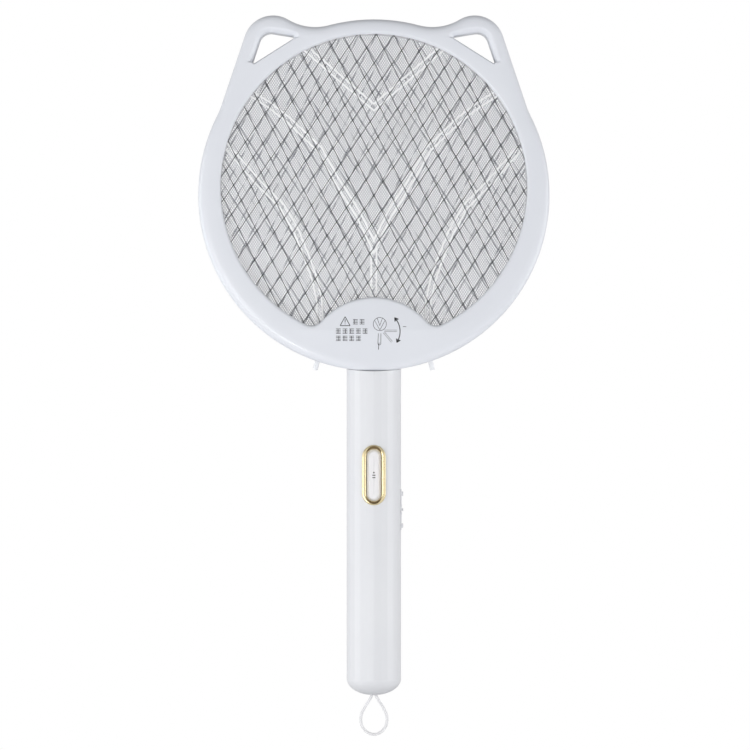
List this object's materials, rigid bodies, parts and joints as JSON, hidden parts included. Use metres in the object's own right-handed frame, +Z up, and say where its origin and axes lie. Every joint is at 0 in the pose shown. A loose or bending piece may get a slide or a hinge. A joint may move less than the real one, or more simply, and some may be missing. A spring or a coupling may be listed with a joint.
{
  "type": "electric fly swatter",
  "caption": "Handheld battery fly swatter: round eared head with a live net between two guard nets, folding back on a hinge at the top of a round handle.",
  "frame": {"origin": "on the handle's axis in the middle of the grip, 60 mm above the handle's lower end", "axes": "+Z up along the handle towards the head, -Y out of the head's front face, +X to the right seen from the front"},
  "size_m": [0.2188, 0.0352, 0.4492],
  "materials": {
    "frame_white": "satin",
    "handle_white": "satin",
    "guard_net": "satin",
    "live_net": "brushed",
    "inner_white": "glossy",
    "gold": "polished",
    "crystal": "polished",
    "steel": "satin",
    "brass_contact": "satin",
    "circuit_board": "satin",
    "dark_plastic": "matte",
    "copper_coil": "satin",
    "capacitor_film": "glossy",
    "cell_wrap": "glossy",
    "lead_red": "matte",
    "lamp_amber": "glossy",
    "strap_white": "woven"
  },
  "bodies": {
    "handle": {"handle_front_shell": "handle_white", "handle_rear_shell": "handle_white", "hinge_knuckle": "inner_white", "handle_contact_rings": "brass_contact", "key_bezel": "gold", "main_board": "circuit_board", "hv_transformer": "copper_coil", "hv_capacitor": "capacitor_film", "tact_switch": "dark_plastic", "indicator_lamps": "lamp_amber", "slide_switch_body": "dark_plastic", "switch_bezel": "handle_white", "battery_cell": "cell_wrap", "battery_contacts": "brass_contact", "charge_board": "circuit_board", "charge_port": "steel", "handle_screws": "steel", "handle_leads": "lead_red", "strap_ferrule": "steel", "strap_cord": "strap_white"},
    "head": {"head_front_shell": "frame_white", "head_rear_shell": "frame_white", "front_net": "guard_net", "centre_net": "live_net", "rear_net": "guard_net", "front_spacer_ring": "inner_white", "rear_spacer_ring": "inner_white", "net_ribs": "inner_white", "net_rails": "inner_white", "rear_feet": "inner_white", "head_screws": "steel", "hinge_bracket": "inner_white", "bracket_screws": "steel", "head_contact_rings": "brass_contact", "net_terminals": "brass_contact", "head_leads": "lead_red", "hinge_axle": "steel", "axle_clips": "steel"},
    "slider": {"mode_slider": "handle_white"},
    "key": {"key_cap": "crystal", "key_light_guide": "crystal"}
  },
  "joints": [
    {"name": "head_fold", "type": "hinge", "parent": "handle", "child": "head", "pos_m": [0, 0, 0.156], "axis": [-1, 0, 0], "range_deg": [0, 110]},
    {"name": "mode_slide", "type": "slide", "parent": "handle", "child": "slider", "axis": [0, 0, 1], "range_m": [-0.004, 0.004]},
    {"name": "key_press", "type": "slide", "parent": "handle", "child": "key", "axis": [0, 1, 0], "range_m": [0, 0.0012], "stiffness_N_per_m": 900, "springref_m": -0.0005}
  ]
}
